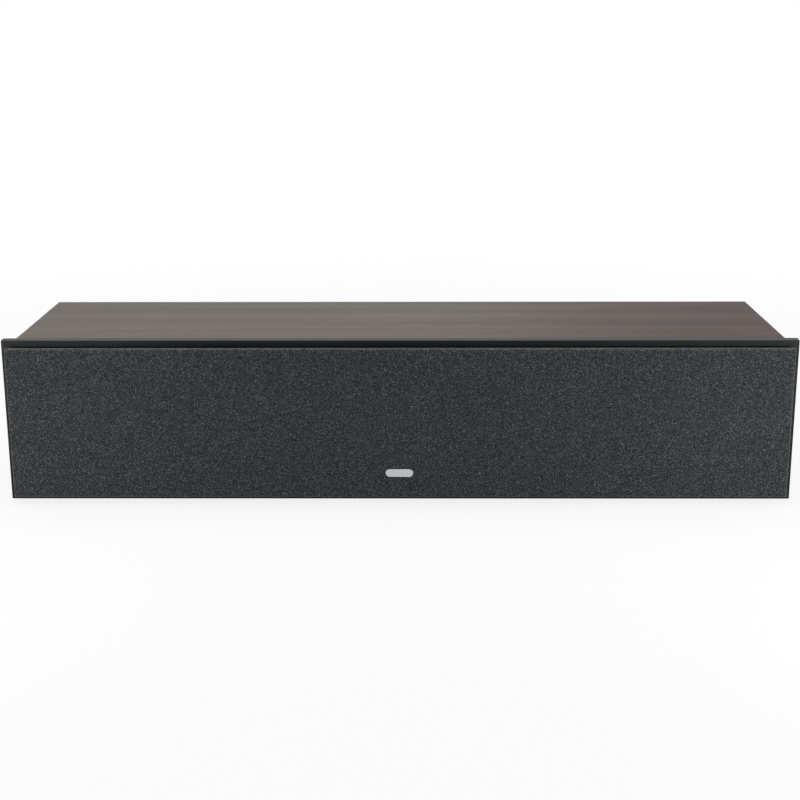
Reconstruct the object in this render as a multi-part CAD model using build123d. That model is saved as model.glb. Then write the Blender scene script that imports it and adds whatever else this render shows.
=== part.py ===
"""Slim center channel loudspeaker: a long low cabinet with four small woofers either side of a dome
tweeter, all behind a cloth grille that pulls off its magnets.

Millimetres. +X is the listener's right, +Y runs from the grille to the terminals, +Z is up. The origin
is on the shelf under the middle of the cabinet. Driver depths are counted from the baffle's front face.
"""

import os
from math import atan2, cos, degrees, hypot, radians, sin, sqrt

from build123d import *

# Woofer, from the cone outwards
cone_radius = 39.5
cone_rim_width = 3.0
cone_depth = 18.2
cone_skin = 0.8
cone_bow = 1.9
cone_neck_length = 2.3
cone_travel = 4.0
dust_cap_radius = 17.0
dust_cap_rise = 6.0
dust_cap_skin = 0.7
surround_skin = 0.8
surround_roll_radius = 2.8
surround_lip_width = 4.0
surround_seat_depth = 3.0
surround_seat_play = 0.5
woofer_rim_width = 10.8
woofer_flange_thickness = 4.0

# Woofer, from the basket back to the magnet
cage_step = 2.3
cage_wall = 3.0
cage_window_count = 6
cage_window_sweep = 30.0
cage_window_margin = 3.0
spider_radius = 35.2
spider_skin = 0.7
spider_ridge = 1.2
spider_ridge_count = 7
spider_ledge_depth = 25.0
spider_ledge_width = 5.9
spider_ledge_thickness = 2.0
basket_floor_depth = 34.5
basket_floor_thickness = 2.0
basket_cup_wall = 3.2
coil_radius = 12.7
coil_former_skin = 0.4
coil_winding_thickness = 0.8
coil_gap = 0.5
coil_tail = 1.0
glue_gap = 0.1
top_plate_radius = 36.0
top_plate_thickness = 5.0
magnet_radius = 40.0
magnet_bore_radius = 18.0
magnet_thickness = 13.0
yoke_plate_thickness = 5.0
pole_vent_radius = 4.0

# Tweeter and its waveguide
waveguide_width = 124.0
waveguide_height = 120.0
waveguide_corner_radius = 16.0
waveguide_plate_thickness = 4.0
waveguide_mouth_radius = 54.0
waveguide_throat_radius = 16.0
waveguide_depth = 22.0
waveguide_wall = 2.5
waveguide_neck_length = 2.0
waveguide_screw_inset = 12.0
tweeter_flange_radius = 31.0
tweeter_flange_thickness = 2.5
dome_radius = 12.5
dome_rise = 5.0
dome_skin = 0.5
dome_roll_radius = 1.3
dome_flange_width = 7.0
tweeter_coil_length = 7.0
tweeter_gap = 0.5
tweeter_plate_thickness = 4.0
tweeter_plate_radius = 30.0
tweeter_magnet_radius = 32.0
tweeter_magnet_bore_radius = 17.0
tweeter_magnet_thickness = 9.0

# Row of drivers on the baffle
driver_gap = 10.0
end_margin = 23.0
edge_margin = 12.0
driver_play = 0.4

# Cabinet boards
baffle_flange_thickness = 9.5
baffle_tenon_thickness = 8.5
baffle_overhang = 4.75
baffle_edge_radius = 0.5
board_thickness = 12.0
board_corner_radius = 0.8
board_play = 0.25
cabinet_depth = 184.5
rear_inset = 4.0
brace_thickness = 12.0
brace_window_width = 46.0
brace_window_height = 66.0
brace_window_radius = 12.0
brace_window_gap = 24.0
foot_height = 7.0
foot_top_radius = 9.0
foot_bottom_radius = 7.5
foot_edge_radius = 1.0
foot_end_inset = 48.0
foot_edge_inset = 30.0

# Grille
grille_margin = 4.9
grille_thickness = 11.5
grille_standoff = 6.5
grille_edge_radius = 2.0
cloth_thickness = 0.8
cloth_lap = 8.0
frame_edge_ease = 0.4
frame_window_margin = 2.8
frame_rail_width = 10.5
frame_window_radius = 18.0
grille_magnet_radius = 5.0
grille_magnet_thickness = 3.0
baffle_magnet_thickness = 4.0
baffle_magnet_cover = 2.0
magnet_pocket_play = 0.1
magnet_recess = 0.2
magnet_boss_wall = 1.6
magnet_row_offset = 48.0
magnet_end_offset = 60.0
badge_width = 24.0
badge_height = 7.0
badge_thickness = 1.2
badge_edge_radius = 0.3
badge_rise = 23.0
badge_boss_margin = 4.0

# Bass port
port_bore_radius = 19.0
port_wall = 2.0
port_length = 82.0
port_flare_radius = 9.0
port_flange_width = 6.0
port_play = 0.4

# Terminal cup and binding posts
cup_width = 64.0
cup_height = 50.0
cup_corner_radius = 6.0
cup_depth = 24.0
cup_wall = 2.5
cup_flange_width = 11.0
cup_flange_thickness = 2.0
cup_play = 0.4
post_spacing = 19.05
post_radius = 3.0
post_length = 17.0
post_tail_length = 8.0
post_collar_radius = 5.5
post_collar_thickness = 2.0
post_play = 0.05
socket_radius = 2.05
socket_depth = 15.0
nut_radius = 6.5
nut_length = 13.0
nut_play = 0.2
nut_flute_count = 12
nut_flute_radius = 0.9
nut_chamfer = 0.8

# Crossover
board_length = 120.0
board_width = 60.0
circuit_board_thickness = 1.6
circuit_board_height = 6.0
circuit_board_setback = 105.0
spacer_radius = 3.5
spacer_inset = 6.0
inductor_radius = 17.0
inductor_height = 18.0
inductor_core_radius = 8.0
inductor_cheek = 1.5
small_inductor_radius = 13.0
small_inductor_height = 14.0
capacitor_radius = 7.0
capacitor_length = 30.0
capacitor_end_radius = 1.0
resistor_length = 40.0
resistor_side = 9.0
component_gap = 4.0
component_seat_gap = 0.1

# Screws
driver_screw_radius = 1.9
driver_screw_length = 15.0
driver_head_radius = 3.8
driver_head_thickness = 2.2
driver_socket_size = 1.7
driver_socket_depth = 1.4
panel_screw_radius = 1.5
panel_screw_length = 12.0
panel_head_radius = 2.9
panel_head_thickness = 1.7
screw_play = 0.05
screw_hole_play = 0.2

# Sizes that follow from the drivers
roll_center_radius = cone_radius + surround_roll_radius
roll_outer_radius = surround_roll_radius + surround_skin / 2
roll_inner_radius = surround_roll_radius - surround_skin / 2
lip_inner_radius = roll_center_radius + roll_inner_radius
lip_outer_radius = lip_inner_radius + surround_lip_width
seat_radius = lip_outer_radius + surround_seat_play
woofer_radius = seat_radius + woofer_rim_width
woofer_screw_radius = (seat_radius + woofer_radius) / 2
cage_radius = seat_radius + cage_step
baffle_width = 8 * woofer_radius + waveguide_width + 4 * driver_gap + 2 * end_margin
baffle_height = max(2 * woofer_radius, waveguide_height) + 2 * edge_margin
baffle_thickness = baffle_flange_thickness + baffle_tenon_thickness
cabinet_width = baffle_width - 2 * baffle_overhang
cabinet_height = baffle_height - 2 * baffle_overhang
inner_width = cabinet_width - 2 * board_thickness
inner_height = cabinet_height - 2 * board_thickness

# Places in the object's frame
overall_depth = badge_thickness + grille_thickness + baffle_flange_thickness + cabinet_depth
baffle_front = badge_thickness + grille_thickness - overall_depth / 2
cabinet_front = baffle_front + baffle_flange_thickness
cabinet_back = cabinet_front + cabinet_depth
tenon_back = baffle_front + baffle_thickness
rear_face = cabinet_back - rear_inset
rear_board_front = rear_face - board_thickness
axis_height = foot_height + cabinet_height / 2
cabinet_floor = foot_height + board_thickness
inner_woofer_x = waveguide_width / 2 + driver_gap + woofer_radius
outer_woofer_x = inner_woofer_x + 2 * woofer_radius + driver_gap
brace_x = (inner_woofer_x + outer_woofer_x) / 2
woofer_x = {
    "outer_left_woofer": -outer_woofer_x,
    "inner_left_woofer": -inner_woofer_x,
    "inner_right_woofer": inner_woofer_x,
    "outer_right_woofer": outer_woofer_x,
}
waveguide_screws = [
    (sx * (waveguide_width / 2 - waveguide_screw_inset), sz * (waveguide_height / 2 - waveguide_screw_inset))
    for sx in (-1, 1)
    for sz in (-1, 1)
]
woofer_screws = [
    (woofer_screw_radius * cos(radians(turn)), woofer_screw_radius * sin(radians(turn)))
    for turn in (45, 135, 225, 315)
]
grille_magnets_at = [
    (sx * x, sz * magnet_row_offset)
    for sx in (-1, 1)
    for x in (brace_x, outer_woofer_x + magnet_end_offset)
    for sz in (-1, 1)
]


# Helpers

def slab(sketch, front, back):
    """Extrudes a sketch drawn in X and Z between two depths."""
    return extrude(Plane.XZ.offset(-front) * sketch, amount=front - back)


def turned(outline):
    """Revolves a closed outline of (radius, depth) points or edges about the depth axis."""
    edges = outline if isinstance(outline[0], Edge) else Polyline(*outline, close=True)
    return revolve(make_face(edges), Axis.Y)


def tube(inner, outer, front, back):
    """A ring with square edges about the depth axis."""
    return turned([(inner, front), (outer, front), (outer, back), (inner, back)])


def rod(radius, front, back):
    """A cylinder along the depth axis."""
    return slab(Circle(radius), front, back)


def on_axis(shape, x=0.0, z=0.0):
    """Moves a driver or fitting from the depth axis to its place across the baffle."""
    return Pos(x, 0, axis_height + z) * shape


def at_baffle(shape, x=0.0, z=0.0):
    """Moves a piece that is drawn from the baffle's front face to its place on the baffle."""
    return Pos(0, baffle_front, 0) * on_axis(shape, x, z)


def group(shapes):
    """Several like solids in one node."""
    return Compound(children=list(shapes))


# Cabinet

def cabinet_sleeve():
    """The outer block of the four mitred boards, with its softened corners."""
    outline = RectangleRounded(cabinet_width, cabinet_height, board_corner_radius)
    return on_axis(slab(outline, cabinet_front, cabinet_back))


def mitred_board(corners):
    """One wall of the cabinet: a mitred section run from the baffle to the back."""
    section = make_face(Polyline(*corners, close=True))
    return on_axis(slab(section, cabinet_front, cabinet_back)) & cabinet_sleeve()


def long_board(side):
    """The top board (side 1) or the bottom board (side -1)."""
    x, z = cabinet_width / 2, side * cabinet_height / 2
    inset = board_thickness
    return mitred_board([(-x, z), (x, z), (x - inset, z - side * inset), (inset - x, z - side * inset)])


def end_board(side):
    """The right board (side 1) or the left board (side -1)."""
    x, z = side * cabinet_width / 2, cabinet_height / 2
    inset = board_thickness
    return mitred_board([(x, -z), (x, z), (x - side * inset, z - inset), (x - side * inset, inset - z)])


def front_baffle():
    """The black front board, rebated into the cabinet and bored for its drivers and magnets."""
    face = slab(Rectangle(baffle_width, baffle_height), 0, baffle_flange_thickness)
    face = fillet(face.edges().group_by(Axis.Y)[0], baffle_edge_radius)
    tenon = Rectangle(inner_width - 2 * board_play, inner_height - 2 * board_play)
    board = face + slab(tenon, baffle_flange_thickness, baffle_thickness)
    pilot = rod(driver_screw_radius + screw_play, 0, driver_head_thickness + driver_screw_length)
    cuts = []
    for x in woofer_x.values():
        cuts.append(Pos(x, 0, 0) * rod(woofer_radius + driver_play, 0, woofer_flange_thickness))
        cuts.append(Pos(x, 0, 0) * rod(cage_radius + driver_play, 0, baffle_thickness))
        cuts += [Pos(x + dx, 0, dz) * pilot for dx, dz in woofer_screws]
    plate = RectangleRounded(
        waveguide_width + 2 * driver_play,
        waveguide_height + 2 * driver_play,
        waveguide_corner_radius + driver_play,
    )
    cuts.append(slab(plate, 0, waveguide_plate_thickness))
    cuts.append(rod(horn_back_radius() + driver_play, 0, baffle_thickness))
    cuts += [Pos(dx, 0, dz) * pilot for dx, dz in waveguide_screws]
    pocket = rod(grille_magnet_radius + magnet_pocket_play, baffle_magnet_cover, baffle_thickness)
    cuts += [Pos(dx, 0, dz) * pocket for dx, dz in grille_magnets_at]
    return at_baffle(board - cuts)


def rear_panel():
    """The black back board, set into the cabinet, with holes for the ports and the terminal cup."""
    board = slab(Rectangle(inner_width, inner_height), rear_board_front, rear_face)
    port_hole = rod(port_bore_radius + port_flare_radius + port_play, rear_board_front, rear_face)
    cup_hole = RectangleRounded(
        cup_width + 2 * (cup_wall + cup_play),
        cup_height + 2 * (cup_wall + cup_play),
        cup_corner_radius + cup_wall + cup_play,
    )
    pilot = rod(panel_screw_radius + screw_play, rear_board_front, rear_face)
    cuts = [Pos(x, 0, 0) * port_hole for x in (-outer_woofer_x, outer_woofer_x)]
    cuts.append(slab(cup_hole, rear_board_front, rear_face))
    cuts += [Pos(dx, 0, dz) * pilot for dx, dz in cup_screws_at()]
    return on_axis(board - cuts)


def brace(side):
    """A windowed board between two woofers that ties all the cabinet walls together."""
    depth = rear_board_front - tenon_back
    outline = Rectangle(depth, inner_height)
    window = RectangleRounded(brace_window_width, brace_window_height, brace_window_radius)
    offset = (brace_window_width + brace_window_gap) / 2
    outline -= [Pos(dx, 0) * window for dx in (-offset, offset)]
    board = extrude(Plane.YZ * outline, amount=brace_thickness / 2, both=True)
    return Pos(side * brace_x, (tenon_back + rear_board_front) / 2, axis_height) * board


def rubber_feet():
    """Four tapered rubber feet under the bottom board, tall enough to lift the baffle clear."""
    outline = [
        (0, 0),
        (foot_bottom_radius, 0),
        (foot_top_radius, foot_height),
        (0, foot_height),
    ]
    foot = revolve(make_face(Plane.XZ * Polyline(*outline, close=True)), Axis.Z)
    foot = fillet(foot.edges().group_by(Axis.Z)[0], foot_edge_radius)
    return group(Pos(x, y, 0) * foot for x, y in feet_at())


def feet_at():
    """Where the four feet stand."""
    x = cabinet_width / 2 - foot_end_inset
    return [
        (sx * x, y)
        for sx in (-1, 1)
        for y in (cabinet_front + foot_edge_inset, cabinet_back - foot_edge_inset)
    ]


# Grille

grille_width = baffle_width - 2 * grille_margin
grille_height = baffle_height - 2 * grille_margin
window_height = grille_height - 2 * (cloth_thickness + frame_rail_width)
frame_back = -grille_standoff - cloth_thickness


def grille_outline(inset, corner):
    """The grille's outline, drawn in by an even inset."""
    return RectangleRounded(grille_width - 2 * inset, grille_height - 2 * inset, corner)


def rounded_block(outline, front, back, edge):
    """A flat block with a rounded front edge."""
    block = slab(outline, front, back)
    return fillet(block.edges().group_by(Axis.Y)[0], edge)


def frame_block(edge):
    """The outside of the grille frame, which the cloth is drawn over."""
    outline = grille_outline(cloth_thickness, grille_edge_radius - cloth_thickness)
    return rounded_block(outline, cloth_thickness - grille_thickness, frame_back, edge)


def grille_frame():
    """The moulded frame: a rail all round, ribs between the drivers, a boss behind the badge, and a short
    cup round each magnet that holds the cloth off the baffle."""
    front, back = -grille_thickness, 0
    woofer_window = RectangleRounded(
        2 * (seat_radius + frame_window_margin), window_height, frame_window_radius
    )
    horn_window = RectangleRounded(
        2 * (waveguide_mouth_radius + frame_window_margin), window_height, frame_window_radius
    )
    boss_height = badge_center() + badge_height / 2 + badge_boss_margin + window_height / 2
    boss = Rectangle(badge_width + 2 * badge_boss_margin, boss_height, align=(Align.CENTER, Align.MIN))
    horn_window -= Pos(0, -window_height / 2) * boss
    pocket_radius = grille_magnet_radius + magnet_pocket_play
    pocket = rod(pocket_radius, -magnet_recess - grille_magnet_thickness, back)
    cup = rod(pocket_radius + magnet_boss_wall, frame_back, back)
    cuts = [Pos(x, 0, 0) * slab(woofer_window, front, back) for x in woofer_x.values()]
    cuts.append(slab(horn_window, front, back))
    cuts += [Pos(dx, 0, dz) * pocket for dx, dz in grille_magnets_at]
    block = frame_block(grille_edge_radius - cloth_thickness + frame_edge_ease)
    block += [Pos(dx, 0, dz) * cup for dx, dz in grille_magnets_at]
    return at_baffle(block - cuts)


def grille_cloth():
    """The acoustic cloth, drawn over the front of the frame and lapped round behind it."""
    outline = grille_outline(0, grille_edge_radius)
    skin = rounded_block(outline, -grille_thickness, -grille_standoff, grille_edge_radius - frame_edge_ease)
    opening = grille_outline(cloth_lap, grille_edge_radius)
    inside = frame_block(grille_edge_radius - cloth_thickness)
    return at_baffle(skin - inside - slab(opening, frame_back, -grille_standoff))


def grille_magnets():
    """Disc magnets pressed into the cups on the back of the grille frame."""
    disc = rod(grille_magnet_radius, -magnet_recess - grille_magnet_thickness, -magnet_recess)
    return group(at_baffle(disc, dx, dz) for dx, dz in grille_magnets_at)


def baffle_magnets():
    """Disc magnets glued into blind pockets bored from the back of the baffle."""
    disc = rod(grille_magnet_radius, baffle_magnet_cover, baffle_magnet_cover + baffle_magnet_thickness)
    return group(at_baffle(disc, dx, dz) for dx, dz in grille_magnets_at)


def badge_center():
    """Height of the badge's middle above the drivers' axis."""
    return badge_rise - grille_height / 2


def badge_plate():
    """A plain blank badge on the cloth, low on the middle of the grille."""
    front = -grille_thickness - badge_thickness
    plate = slab(SlotOverall(badge_width, badge_height), front, -grille_thickness)
    plate = fillet(plate.edges().group_by(Axis.Y)[0], badge_edge_radius)
    return at_baffle(plate, 0, badge_center())


# Woofers

def screw_seat():
    """Cutter for a driver screw: the shank's hole and the counterbore that sinks its head."""
    hole = rod(driver_screw_radius + screw_hole_play, 0, woofer_flange_thickness)
    return hole + rod(driver_head_radius + screw_hole_play, 0, driver_head_thickness)


def cage_window(front, back):
    """Cutter for the openings between the basket's spokes: round-ended slots bent round the axis."""
    ledge_radius = spider_radius + surround_seat_play
    inner, outer = ledge_radius + cage_wall / 2, cage_radius
    arc = CenterArc((0, 0), (inner + outer) / 2, -cage_window_sweep / 2, cage_window_sweep)
    return slab(SlotArc(arc, outer - inner), front, back)


def woofer_basket():
    """The cast basket: flange, surround seat, spoked cage, spider ledge and the cup on the magnet."""
    flange_back = woofer_flange_thickness
    ledge_outer = spider_radius + surround_seat_play
    ledge_inner = ledge_outer - spider_ledge_width
    ledge_back = spider_ledge_depth + spider_ledge_thickness
    floor_front = basket_floor_depth - basket_floor_thickness
    seat_back = flange_back + surround_seat_play
    opening_radius = lip_inner_radius + surround_seat_play
    floor_radius = coil_radius + coil_former_skin + coil_winding_thickness + 4 * coil_gap
    section = [
        (seat_radius, 0),
        (woofer_radius, 0),
        (woofer_radius, flange_back),
        (cage_radius, flange_back),
        (ledge_outer + cage_wall, ledge_back),
        (ledge_inner + basket_cup_wall, ledge_back),
        (ledge_inner + basket_cup_wall, basket_floor_depth),
        (floor_radius, basket_floor_depth),
        (floor_radius, floor_front),
        (ledge_inner, floor_front),
        (ledge_inner, spider_ledge_depth),
        (ledge_outer, spider_ledge_depth),
        (cage_radius - cage_wall, seat_back),
        (opening_radius, seat_back),
        (opening_radius, surround_seat_depth),
        (seat_radius, surround_seat_depth),
    ]
    window = cage_window(seat_back + cage_window_margin, spider_ledge_depth - cage_window_margin)
    pitch = 360 / cage_window_count
    cuts = [Rot(0, turn * pitch, 0) * window for turn in range(cage_window_count)]
    cuts += [Pos(dx, 0, dz) * screw_seat() for dx, dz in woofer_screws]
    return turned(section) - cuts


def woofer_surround():
    """The half-roll rubber surround, with a lip on the basket's seat and a lip on the cone's rim."""
    back = surround_seat_depth
    front = back - surround_skin
    middle = roll_center_radius
    inner_lip = cone_radius - cone_rim_width
    crest, hollow = front - roll_outer_radius, front - roll_inner_radius
    outline = [
        Line((inner_lip, back), (inner_lip, front)),
        Line((inner_lip, front), (middle - roll_outer_radius, front)),
        ThreePointArc((middle - roll_outer_radius, front), (middle, crest), (middle + roll_outer_radius, front)),
        Line((middle + roll_outer_radius, front), (lip_outer_radius, front)),
        Line((lip_outer_radius, front), (lip_outer_radius, back)),
        Line((lip_outer_radius, back), (lip_inner_radius, back)),
        Line((lip_inner_radius, back), (lip_inner_radius, front)),
        ThreePointArc((lip_inner_radius, front), (middle, hollow), (middle - roll_inner_radius, front)),
        Line((middle - roll_inner_radius, front), (middle - roll_inner_radius, back)),
        Line((middle - roll_inner_radius, back), (inner_lip, back)),
    ]
    return turned(outline)


def cone_neck_radius():
    """Inside radius of the cone's neck, which is glued over the coil former."""
    return coil_radius + coil_former_skin + glue_gap


def cone_face():
    """The bowed front line of the cone, from the rim to the neck."""
    rim = Vector(cone_radius - cone_rim_width, surround_seat_depth)
    neck = Vector(cone_neck_radius(), surround_seat_depth + cone_depth)
    along = neck - rim
    square = Vector(along.Y, -along.X) / along.length
    return ThreePointArc(rim, (rim + neck) / 2 - square * cone_bow, neck)


def cone_face_depth(radius):
    """Depth of the cone's front face at a radius."""
    face = cone_face()
    center = face.arc_center
    return center.Y - sqrt(face.radius**2 - (radius - center.X) ** 2)


def woofer_cone():
    """The pressed cone: a flat rim under the surround, a bowed body and a neck on the coil former."""
    rim_front = surround_seat_depth
    rim_back = rim_front + cone_skin
    face = cone_face()
    back = face.translate((cone_skin, cone_skin / 2, 0))
    neck_end = surround_seat_depth + cone_depth + cone_neck_length
    neck_in, neck_out = face @ 1, back @ 1
    outline = [
        Line((cone_radius, rim_back), (cone_radius, rim_front)),
        Line((cone_radius, rim_front), face @ 0),
        face,
        Line(neck_in, (neck_in.X, neck_end)),
        Line((neck_in.X, neck_end), (neck_out.X, neck_end)),
        Line((neck_out.X, neck_end), neck_out),
        back,
        Line(back @ 0, ((back @ 0).X, rim_back)),
        Line(((back @ 0).X, rim_back), (cone_radius, rim_back)),
    ]
    return turned(outline)


def dust_cap():
    """The domed cap glued on the cone over the voice coil."""
    base = cone_face_depth(dust_cap_radius) - glue_gap
    inner_radius = dust_cap_radius - dust_cap_skin
    ball = (dust_cap_radius**2 + dust_cap_rise**2) / (2 * dust_cap_rise)
    tip = base - dust_cap_rise
    middle = tip + ball
    lift = hypot(dust_cap_radius / 2, sqrt(ball**2 - dust_cap_radius**2 / 4)) - ball
    shoulder = middle - sqrt(ball**2 - dust_cap_radius**2 / 4) + lift
    inner_shoulder = middle - sqrt((ball - dust_cap_skin) ** 2 - inner_radius**2 / 4)
    inner_base = middle - sqrt((ball - dust_cap_skin) ** 2 - inner_radius**2)
    outline = [
        Line((0, tip + dust_cap_skin), (0, tip)),
        ThreePointArc((0, tip), (dust_cap_radius / 2, shoulder), (dust_cap_radius, base)),
        Line((dust_cap_radius, base), (inner_radius, inner_base)),
        ThreePointArc((inner_radius, inner_base), (inner_radius / 2, inner_shoulder), (0, tip + dust_cap_skin)),
    ]
    return turned(outline)


def winding_span():
    """Front and back of the winding, which overhangs the top plate by the cone's travel."""
    return basket_floor_depth - cone_travel, basket_floor_depth + top_plate_thickness + cone_travel


def woofer_voice_coil():
    """The former that carries the cone, and the copper winding at its tail."""
    start = surround_seat_depth + cone_depth
    winding_front, winding_back = winding_span()
    former = coil_radius + coil_former_skin
    winding = former + coil_winding_thickness
    return turned(
        [
            (coil_radius, start),
            (former, start),
            (former, winding_front),
            (winding, winding_front),
            (winding, winding_back),
            (former, winding_back),
            (former, winding_back + coil_tail),
            (coil_radius, winding_back + coil_tail),
        ]
    )


def woofer_spider():
    """The ridged cloth spider that centers the coil, seated on the basket's ledge."""
    back = spider_ledge_depth
    front = back - spider_skin
    inner = cone_neck_radius()
    ledge_edge = spider_radius + surround_seat_play - spider_ledge_width
    step = (ledge_edge - inner) / (spider_ridge_count + 1)
    ridges = [
        (ledge_edge - step * count, spider_ridge if count % 2 else -spider_ridge)
        for count in range(1, spider_ridge_count + 1)
    ]
    line = [(spider_radius, 0), (ledge_edge, 0), *ridges, (inner, 0)]
    return turned([(r, front + d) for r, d in line] + [(r, back + d) for r, d in reversed(line)])


def coil_slot_radius():
    """Bore of the top plate, a working gap outside the winding."""
    return coil_radius + coil_former_skin + coil_winding_thickness + coil_gap


def woofer_top_plate():
    """The steel washer between the basket and the magnet."""
    front = basket_floor_depth
    return tube(coil_slot_radius(), top_plate_radius, front, front + top_plate_thickness)


def woofer_magnet():
    """The ferrite ring magnet."""
    front = basket_floor_depth + top_plate_thickness
    return tube(magnet_bore_radius, magnet_radius, front, front + magnet_thickness)


def woofer_yoke():
    """The steel back plate and its vented pole, one turned piece."""
    plate_front = basket_floor_depth + top_plate_thickness + magnet_thickness
    plate_back = plate_front + yoke_plate_thickness
    pole = coil_radius - coil_gap
    return turned(
        [
            (pole_vent_radius, basket_floor_depth),
            (pole, basket_floor_depth),
            (pole, plate_front),
            (top_plate_radius, plate_front),
            (top_plate_radius, plate_back),
            (pole_vent_radius, plate_back),
        ]
    )


# Tweeter

def horn_radius():
    """Radius of the waveguide's flare, which leaves the plate level and reaches the throat."""
    spread = waveguide_mouth_radius - waveguide_throat_radius
    return (spread**2 + waveguide_depth**2) / (2 * waveguide_depth)


def horn_back_line_radius(depth):
    """Distance of the flare's back face from the axis at a depth."""
    flare = horn_radius()
    return waveguide_mouth_radius - sqrt((flare - waveguide_wall) ** 2 - (flare - depth) ** 2)


def horn_back_radius():
    """Largest radius of the waveguide behind its plate."""
    return horn_back_line_radius(waveguide_plate_thickness)


def waveguide_end():
    """Depth of the flat flange that the tweeter's dome and motor are fixed to."""
    return waveguide_depth + waveguide_neck_length


def tweeter_waveguide():
    """The moulded front plate of the tweeter, with its flare and motor flange."""
    flare = horn_radius()
    center = (waveguide_mouth_radius, flare)
    throat, end = waveguide_throat_radius, waveguide_end()
    flange_front = end - tweeter_flange_thickness
    wall_radius = flare - waveguide_wall
    neck, rim = horn_back_line_radius(flange_front), horn_back_radius()
    front_turn = degrees(atan2(flare - waveguide_depth, waveguide_mouth_radius - throat)) - 90
    back_start = 180 + degrees(atan2(flare - flange_front, waveguide_mouth_radius - neck))
    back_end = 180 + degrees(atan2(flare - waveguide_plate_thickness, waveguide_mouth_radius - rim))
    outline = [
        Line((waveguide_mouth_radius, waveguide_plate_thickness), (waveguide_mouth_radius, 0)),
        CenterArc(center, flare, 270, front_turn),
        Line((throat, waveguide_depth), (throat, end)),
        Line((throat, end), (tweeter_flange_radius, end)),
        Line((tweeter_flange_radius, end), (tweeter_flange_radius, flange_front)),
        Line((tweeter_flange_radius, flange_front), (neck, flange_front)),
        CenterArc(center, wall_radius, back_start, back_end - back_start),
        Line((rim, waveguide_plate_thickness), (waveguide_mouth_radius, waveguide_plate_thickness)),
    ]
    outer = RectangleRounded(waveguide_width, waveguide_height, waveguide_corner_radius)
    plate = slab(outer - Circle(waveguide_mouth_radius), 0, waveguide_plate_thickness)
    seats = [Pos(dx, 0, dz) * screw_seat() for dx, dz in waveguide_screws]
    return plate + turned(outline) - seats


def tweeter_dome():
    """The pressed metal dome, its rolled edge and its clamping flange, in one piece."""
    back = waveguide_end() + dome_skin
    front = waveguide_end()
    tip = front - dome_rise
    ball = (dome_radius**2 + dome_rise**2) / (2 * dome_rise)
    inner_ball = ball - dome_skin
    middle = tip + ball
    half = dome_radius / 2
    roll_middle = dome_radius + dome_roll_radius
    roll_inner = dome_roll_radius - dome_skin
    roll_end = roll_middle + dome_roll_radius
    flange_end = roll_end + dome_flange_width
    cup_radius = sqrt(inner_ball**2 - (middle - back) ** 2)
    outline = [
        Line((0, tip + dome_skin), (0, tip)),
        ThreePointArc((0, tip), (half, middle - sqrt(ball**2 - half**2)), (dome_radius, front)),
        ThreePointArc((dome_radius, front), (roll_middle, front - dome_roll_radius), (roll_end, front)),
        Line((roll_end, front), (flange_end, front)),
        Line((flange_end, front), (flange_end, back)),
        Line((flange_end, back), (roll_middle + roll_inner, back)),
        Line((roll_middle + roll_inner, back), (roll_middle + roll_inner, front)),
        ThreePointArc(
            (roll_middle + roll_inner, front), (roll_middle, front - roll_inner), (roll_middle - roll_inner, front)
        ),
        Line((roll_middle - roll_inner, front), (roll_middle - roll_inner, back)),
        Line((roll_middle - roll_inner, back), (cup_radius, back)),
        ThreePointArc(
            (cup_radius, back), (half, middle - sqrt(inner_ball**2 - half**2)), (0, tip + dome_skin)
        ),
    ]
    return turned(outline)


def tweeter_coil_outer():
    """Outside radius of the tweeter's coil, wound straight under the edge of the dome."""
    return dome_radius + dome_skin


def tweeter_voice_coil():
    """The fine coil glued under the dome."""
    front = waveguide_end() + dome_skin
    return tube(dome_radius - dome_skin / 2, tweeter_coil_outer(), front, front + tweeter_coil_length)


def tweeter_top_plate():
    """The steel washer that clamps the dome's flange to the waveguide."""
    front = waveguide_end() + dome_skin
    bore = tweeter_coil_outer() + tweeter_gap
    return tube(bore, tweeter_plate_radius, front, front + tweeter_plate_thickness)


def tweeter_magnet():
    """The tweeter's ring magnet."""
    front = waveguide_end() + dome_skin + tweeter_plate_thickness
    return tube(tweeter_magnet_bore_radius, tweeter_magnet_radius, front, front + tweeter_magnet_thickness)


def tweeter_yoke():
    """The tweeter's back plate and pole."""
    pole_front = waveguide_end() + dome_skin
    plate_front = pole_front + tweeter_plate_thickness + tweeter_magnet_thickness
    pole = dome_radius - dome_skin / 2 - tweeter_gap
    return rod(pole, pole_front, plate_front) + rod(
        tweeter_plate_radius, plate_front, plate_front + tweeter_plate_thickness
    )


# Back of the cabinet

def port_tube():
    """The flared bass port, one moulded tube pushed through the back board."""
    end = rear_face + port_wall
    start = end - port_length
    center = (port_bore_radius + port_flare_radius, end - port_flare_radius)
    outer = port_bore_radius + port_wall
    rim = center[0] + port_flange_width
    outline = [
        Line((port_bore_radius, center[1]), (port_bore_radius, start)),
        Line((port_bore_radius, start), (outer, start)),
        Line((outer, start), (outer, center[1])),
        CenterArc(center, port_flare_radius - port_wall, 180, -90),
        Line((center[0], rear_face), (rim, rear_face)),
        Line((rim, rear_face), (rim, end)),
        Line((rim, end), (center[0], end)),
        CenterArc(center, port_flare_radius, 90, 90),
    ]
    return turned(outline)


def cup_floor():
    """Depth of the terminal cup's floor, where the posts' collars sit."""
    return rear_face + cup_flange_thickness - cup_depth


def cup_screws_at():
    """The four screws through the terminal cup's flange."""
    x = cup_width / 2 + cup_wall + (cup_flange_width - cup_wall) / 2
    z = cup_height / 2 - cup_corner_radius
    return [(sx * x, sz * z) for sx in (-1, 1) for sz in (-1, 1)]


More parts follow.
